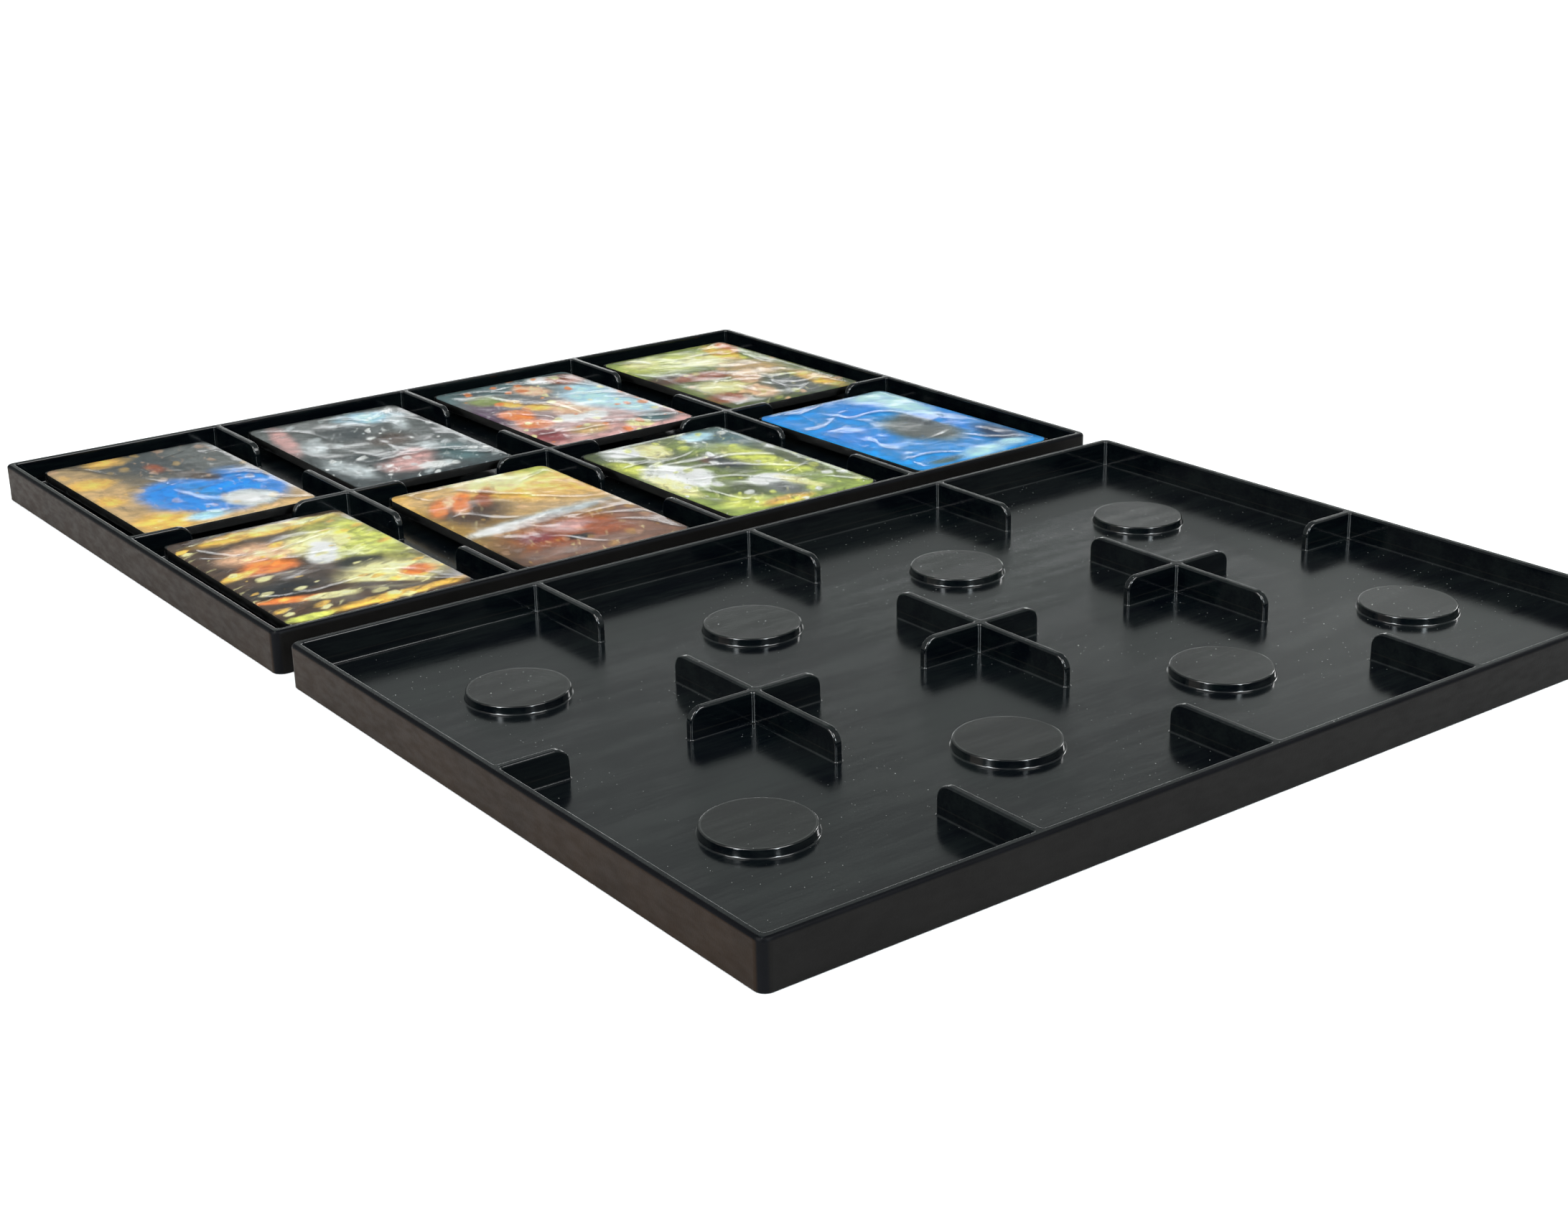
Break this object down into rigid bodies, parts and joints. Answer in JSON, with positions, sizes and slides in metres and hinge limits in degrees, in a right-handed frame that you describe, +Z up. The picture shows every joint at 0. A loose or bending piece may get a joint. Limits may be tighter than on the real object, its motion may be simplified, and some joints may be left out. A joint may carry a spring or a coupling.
{
  "type": "box insert organizer",
  "caption": "Low moulded trays for a game box, split by short dividers into card compartments with raised discs; one tray holds film-wrapped card packs.",
  "frame": {"origin": "on the table under the middle of the pair of trays", "axes": "+X along the long sides of the trays, +Y from the empty tray to the filled one, +Z up"},
  "size_m": [0.23, 0.331, 0.0095],
  "materials": {
    "tray_plastic": "satin black, fine texture outside",
    "clear_film": "clear, crinkled, glossy",
    "card_stock": "black printed card edges, matt",
    "face_card_1": "printed, gloss varnished",
    "face_card_2": "printed, gloss varnished",
    "face_card_3": "printed, gloss varnished",
    "face_card_4": "printed, gloss varnished",
    "face_card_5": "printed, gloss varnished",
    "face_card_6": "printed, gloss varnished",
    "face_card_7": "printed, gloss varnished",
    "face_card_8": "printed, gloss varnished"
  },
  "bodies": {
    "tray_front": {"tray_front": "tray_plastic"},
    "tray_rear": {"tray_rear": "tray_plastic"},
    "pack_1": {"pack_1_film": "clear_film", "pack_1_face_card": "face_card_1", "pack_1_cards": "card_stock"},
    "pack_2": {"pack_2_film": "clear_film", "pack_2_face_card": "face_card_2", "pack_2_cards": "card_stock"},
    "pack_3": {"pack_3_film": "clear_film", "pack_3_face_card": "face_card_3", "pack_3_cards": "card_stock"},
    "pack_4": {"pack_4_film": "clear_film", "pack_4_face_card": "face_card_4", "pack_4_cards": "card_stock"},
    "pack_5": {"pack_5_film": "clear_film", "pack_5_face_card": "face_card_5", "pack_5_cards": "card_stock"},
    "pack_6": {"pack_6_film": "clear_film", "pack_6_face_card": "face_card_6", "pack_6_cards": "card_stock"},
    "pack_7": {"pack_7_film": "clear_film", "pack_7_face_card": "face_card_7", "pack_7_cards": "card_stock"},
    "pack_8": {"pack_8_film": "clear_film", "pack_8_face_card": "face_card_8", "pack_8_cards": "card_stock"}
  },
  "joints": [
    {"name": "tray_rear_lift", "type": "slide", "parent": "tray_front", "child": "tray_rear", "axis": [0, 0, 1], "range_m": [0, 0.04]},
    {"name": "pack_1_lift", "type": "slide", "parent": "tray_rear", "child": "pack_1", "axis": [0, 0, 1], "range_m": [0, 0.03]},
    {"name": "pack_2_lift", "type": "slide", "parent": "tray_rear", "child": "pack_2", "axis": [0, 0, 1], "range_m": [0, 0.03]},
    {"name": "pack_3_lift", "type": "slide", "parent": "tray_rear", "child": "pack_3", "axis": [0, 0, 1], "range_m": [0, 0.03]},
    {"name": "pack_4_lift", "type": "slide", "parent": "tray_rear", "child": "pack_4", "axis": [0, 0, 1], "range_m": [0, 0.03]},
    {"name": "pack_5_lift", "type": "slide", "parent": "tray_rear", "child": "pack_5", "axis": [0, 0, 1], "range_m": [0, 0.03]},
    {"name": "pack_6_lift", "type": "slide", "parent": "tray_rear", "child": "pack_6", "axis": [0, 0, 1], "range_m": [0, 0.03]},
    {"name": "pack_7_lift", "type": "slide", "parent": "tray_rear", "child": "pack_7", "axis": [0, 0, 1], "range_m": [0, 0.03]},
    {"name": "pack_8_lift", "type": "slide", "parent": "tray_rear", "child": "pack_8", "axis": [0, 0, 1], "range_m": [0, 0.03]}
  ]
}
